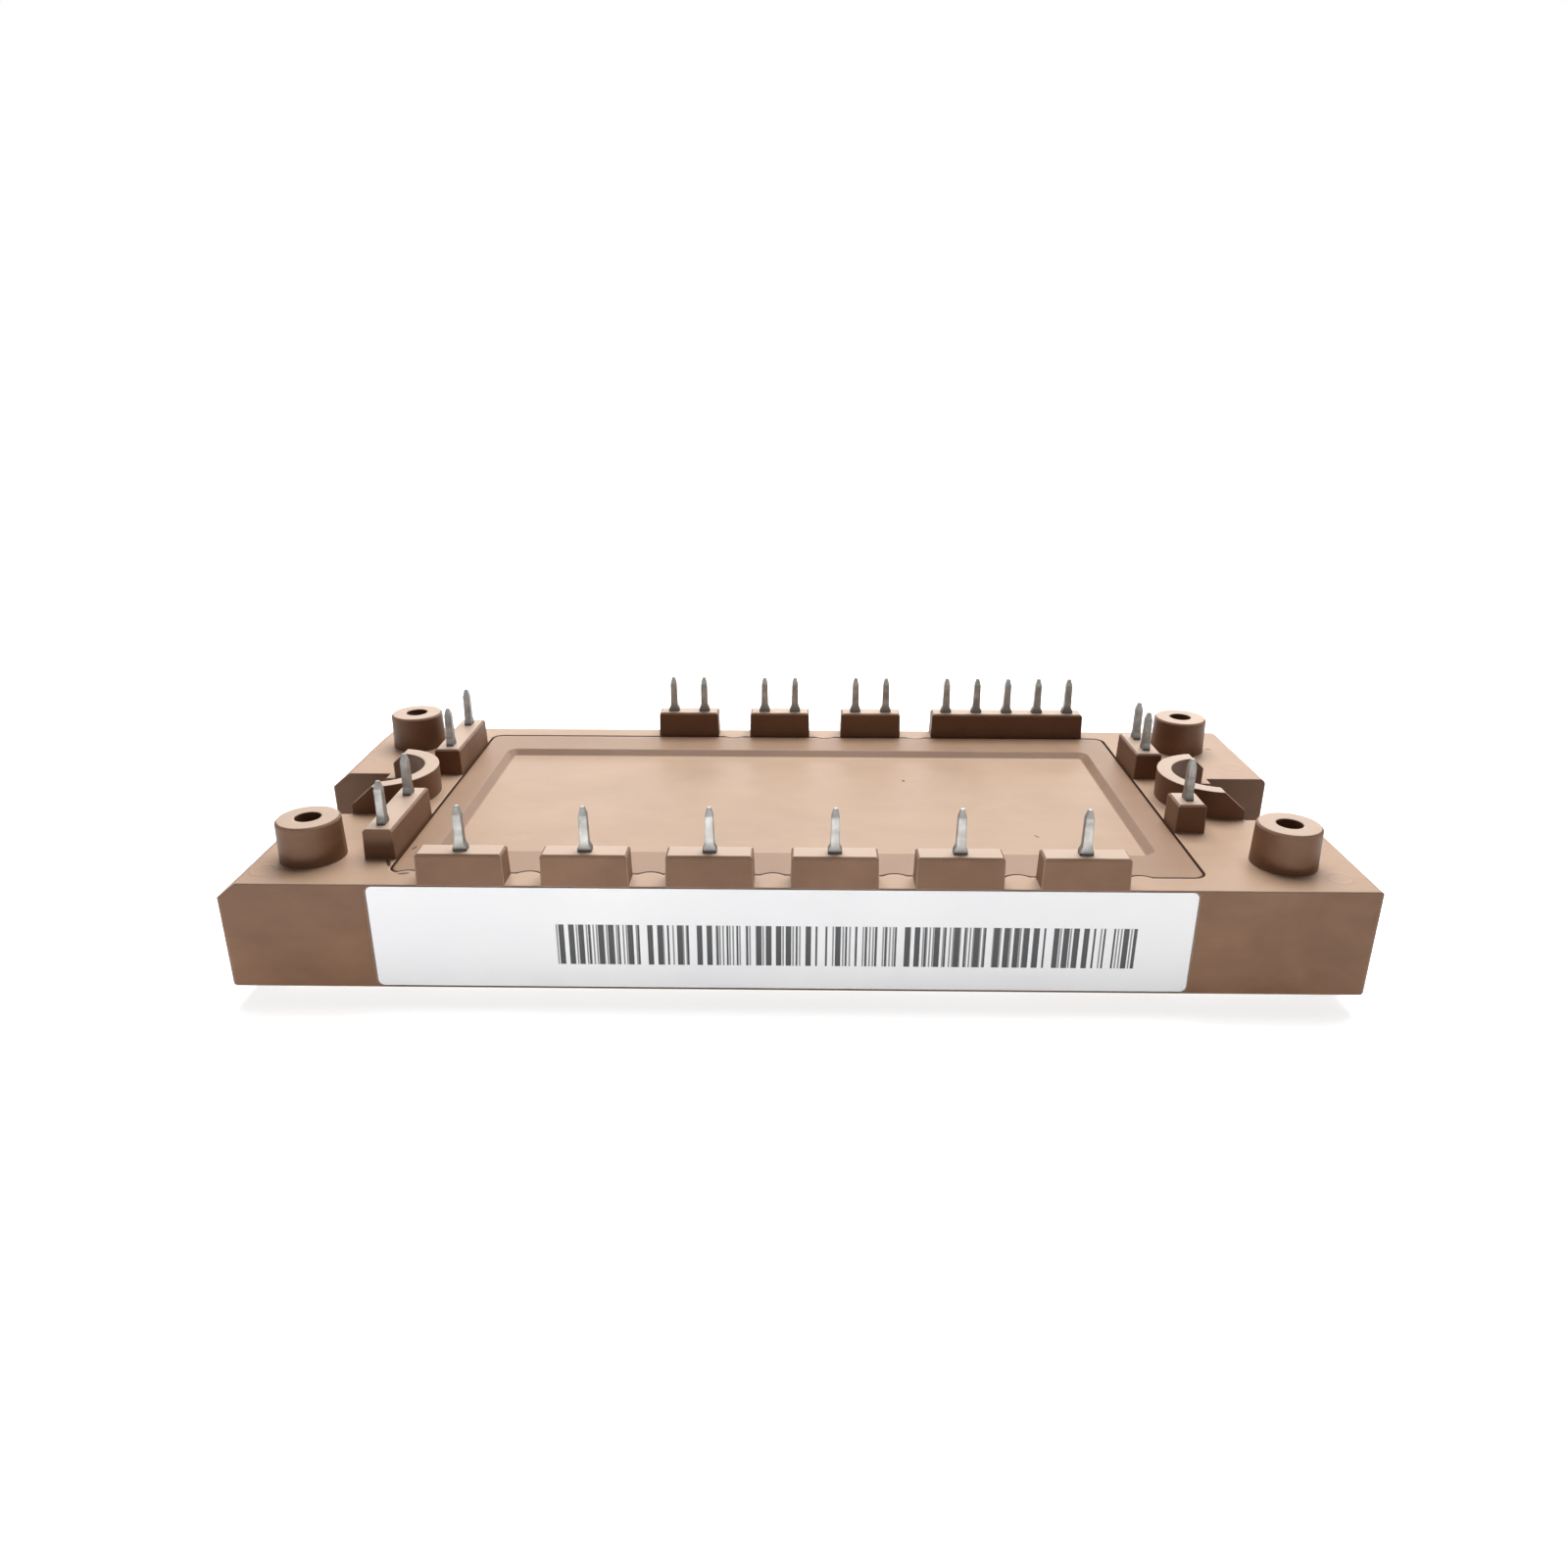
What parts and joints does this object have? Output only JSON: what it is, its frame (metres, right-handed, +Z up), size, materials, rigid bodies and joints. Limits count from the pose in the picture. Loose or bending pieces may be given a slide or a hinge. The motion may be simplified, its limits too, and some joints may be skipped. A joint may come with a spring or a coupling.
{
  "type": "igbt power module",
  "caption": "Flat rectangular power semiconductor module: brown moulded case on a metal base plate, screw slots at both ends, four board bosses and rows of upright solder pins.",
  "frame": {"origin": "middle of the base plate's underside, the face that meets the heat sink", "axes": "+X along the module to the right as seen from the label, +Y away from the label, +Z up through the pins"},
  "size_m": [0.1076, 0.045, 0.0203],
  "materials": {
    "moulded_pps": "fine spark-eroded mould texture",
    "lid_pps": "fine spark-eroded mould texture",
    "label_film": "satin white polyester",
    "nickel_plated_copper": "matt electrolytic nickel",
    "tinned_copper": "matt tin",
    "bare_copper": "etched, matt",
    "solder": "dull",
    "alumina": "fired, unglazed",
    "silicon_die": "metallised, satin",
    "sensor_ceramic": "fired",
    "bond_aluminium": "drawn wire",
    "silicone_gel": "clear, soft",
    "silicone_adhesive": "cured bead"
  },
  "bodies": {
    "root": {"base_plate": "nickel_plated_copper", "base_solder": "solder", "brake_diode": "silicon_die", "brake_igbt": "silicon_die", "case_frame": "moulded_pps", "chip_solder": "solder", "copper_tracks": "bare_copper", "frame_adhesive": "silicone_adhesive", "freewheel_diode_1": "silicon_die", "freewheel_diode_2": "silicon_die", "freewheel_diode_3": "silicon_die", "freewheel_diode_4": "silicon_die", "freewheel_diode_5": "silicon_die", "freewheel_diode_6": "silicon_die", "gate_wires": "bond_aluminium", "inverter_igbt_1": "silicon_die", "inverter_igbt_2": "silicon_die", "inverter_igbt_3": "silicon_die", "inverter_igbt_4": "silicon_die", "inverter_igbt_5": "silicon_die", "inverter_igbt_6": "silicon_die", "label": "label_film", "lid": "lid_pps", "power_wires": "bond_aluminium", "rectifier_diode_1": "silicon_die", "rectifier_diode_2": "silicon_die", "rectifier_diode_3": "silicon_die", "rectifier_diode_4": "silicon_die", "rectifier_diode_5": "silicon_die", "rectifier_diode_6": "silicon_die", "silicone_gel": "silicone_gel", "substrate_back_copper": "bare_copper", "substrate_ceramic": "alumina", "terminal_pin_01": "tinned_copper", "terminal_pin_02": "tinned_copper", "terminal_pin_03": "tinned_copper", "terminal_pin_04": "tinned_copper", "terminal_pin_05": "tinned_copper", "terminal_pin_06": "tinned_copper", "terminal_pin_07": "tinned_copper", "terminal_pin_08": "tinned_copper", "terminal_pin_09": "tinned_copper", "terminal_pin_10": "tinned_copper", "terminal_pin_11": "tinned_copper", "terminal_pin_12": "tinned_copper", "terminal_pin_13": "tinned_copper", "terminal_pin_14": "tinned_copper", "terminal_pin_15": "tinned_copper", "terminal_pin_16": "tinned_copper", "terminal_pin_17": "tinned_copper", "terminal_pin_18": "tinned_copper", "terminal_pin_19": "tinned_copper", "terminal_pin_20": "tinned_copper", "terminal_pin_21": "tinned_copper", "terminal_pin_22": "tinned_copper", "terminal_pin_23": "tinned_copper", "terminal_pin_24": "tinned_copper", "terminal_wires": "bond_aluminium", "thermistor": "sensor_ceramic"}
  },
  "joints": []
}
